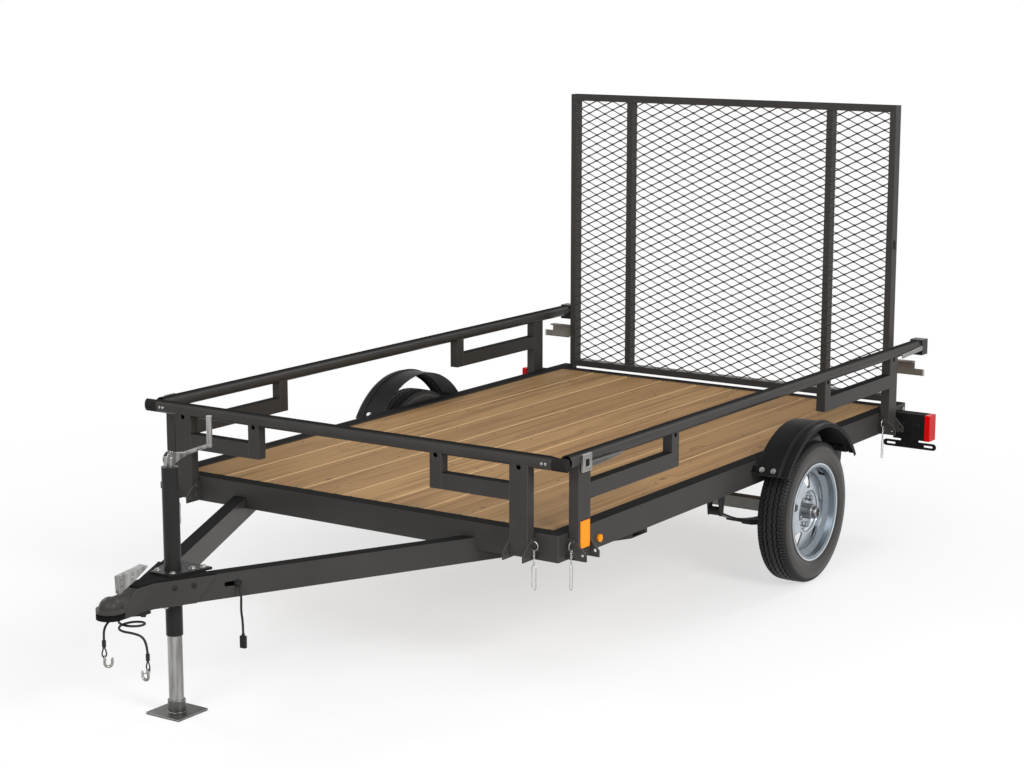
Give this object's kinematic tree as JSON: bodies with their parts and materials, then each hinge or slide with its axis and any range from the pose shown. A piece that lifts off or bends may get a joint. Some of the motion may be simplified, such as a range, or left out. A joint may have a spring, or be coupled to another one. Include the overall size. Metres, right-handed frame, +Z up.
{
  "type": "single-axle utility trailer",
  "caption": "Utility trailer with a wooden deck, tube rails that fold down, a mesh ramp gate, and a tongue with a ball coupler and a jack.",
  "frame": {"origin": "middle of the bottom of the box around the trailer without its hanging cords", "axes": "+Z up, -Y forward to the coupler, +Y to the ramp gate, +X to the trailer's left"},
  "size_m": [2.201, 4.283, 1.868],
  "materials": {
    "frame_paint": "satin",
    "fender_paint": "gloss",
    "deck_wood": "matte",
    "tyre_rubber": "matte",
    "wheel_paint": "gloss",
    "zinc": "satin",
    "bare_steel": "satin",
    "black_steel": "satin",
    "red_lens": "gloss",
    "amber_lens": "gloss",
    "black_plastic": "matte",
    "cable_sleeve": "satin"
  },
  "bodies": {
    "chassis": {"front_member": "frame_paint", "rear_member": "frame_paint", "left_member": "frame_paint", "right_member": "frame_paint", "crossmembers": "frame_paint", "left_tongue_beam": "frame_paint", "right_tongue_beam": "frame_paint", "axle": "frame_paint", "rail_pivots": "frame_paint", "left_fender": "fender_paint", "right_fender": "fender_paint", "fender_arms": "fender_paint", "deck_planks": "deck_wood", "coupler_latch": "zinc", "jack_crank": "zinc", "cable_hooks": "zinc", "gate_hinge_bolts": "zinc", "coupler": "black_steel", "cable_anchor": "black_steel", "jack_outer_tube": "black_steel", "jack_mount_plate": "black_steel", "leaf_springs": "black_steel", "spring_hangers": "black_steel", "axle_clamps": "black_steel", "tail_lamp_boxes": "black_steel", "licence_plate_holder": "black_steel", "tail_lamp_lenses": "red_lens", "side_marker_lamps": "amber_lens", "lead_grommet": "black_plastic", "wiring_lead": "black_plastic", "wiring_plug": "black_plastic", "left_safety_cable": "cable_sleeve", "right_safety_cable": "cable_sleeve"},
    "left_wheel": {"left_tyre": "tyre_rubber", "left_rim": "wheel_paint", "left_hub": "bare_steel"},
    "right_wheel": {"right_tyre": "tyre_rubber", "right_rim": "wheel_paint", "right_hub": "bare_steel"},
    "left_rail": {"left_rail_tube": "frame_paint", "left_rail_posts": "frame_paint", "left_rail_braces": "frame_paint", "left_rail_latches": "zinc", "left_rail_reflector": "amber_lens"},
    "right_rail": {"right_rail_tube": "frame_paint", "right_rail_posts": "frame_paint", "right_rail_braces": "frame_paint", "right_rail_latches": "zinc", "right_rail_reflector": "amber_lens"},
    "front_rail": {"front_rail_tube": "frame_paint", "front_rail_posts": "frame_paint", "front_rail_braces": "frame_paint"},
    "ramp_gate": {"gate_frame": "frame_paint", "gate_mesh_rising": "frame_paint", "gate_mesh_falling": "frame_paint", "gate_hinge_lugs": "frame_paint", "gate_latch_plates": "zinc"},
    "jack_foot_leg": {"jack_leg": "zinc", "jack_foot": "zinc"}
  },
  "joints": [
    {"name": "left_wheel_spin", "type": "hinge", "parent": "chassis", "child": "left_wheel", "pos_m": [0.989, 0.8555, 0.29], "axis": [1, 0, 0], "continuous": true},
    {"name": "right_wheel_spin", "type": "hinge", "parent": "chassis", "child": "right_wheel", "pos_m": [-0.989, 0.8555, 0.29], "axis": [1, 0, 0], "continuous": true},
    {"name": "left_rail_fold", "type": "hinge", "parent": "chassis", "child": "left_rail", "pos_m": [0.935, 0.5555, 0.466], "axis": [0, 1, 0], "range_deg": [0, 90]},
    {"name": "right_rail_fold", "type": "hinge", "parent": "chassis", "child": "right_rail", "pos_m": [-0.935, 0.5555, 0.466], "axis": [0, -1, 0], "range_deg": [0, 90]},
    {"name": "front_rail_fold", "type": "hinge", "parent": "chassis", "child": "front_rail", "pos_m": [0, -0.8775, 0.466], "axis": [1, 0, 0], "range_deg": [0, 76]},
    {"name": "ramp_gate_fold", "type": "hinge", "parent": "chassis", "child": "ramp_gate", "pos_m": [0, 1.9945, 0.513], "axis": [-1, 0, 0], "range_deg": [0, 110.5]},
    {"name": "jack_leg_slide", "type": "slide", "parent": "chassis", "child": "jack_foot_leg", "axis": [0, 0, 1], "range_m": [0, 0.218]}
  ]
}
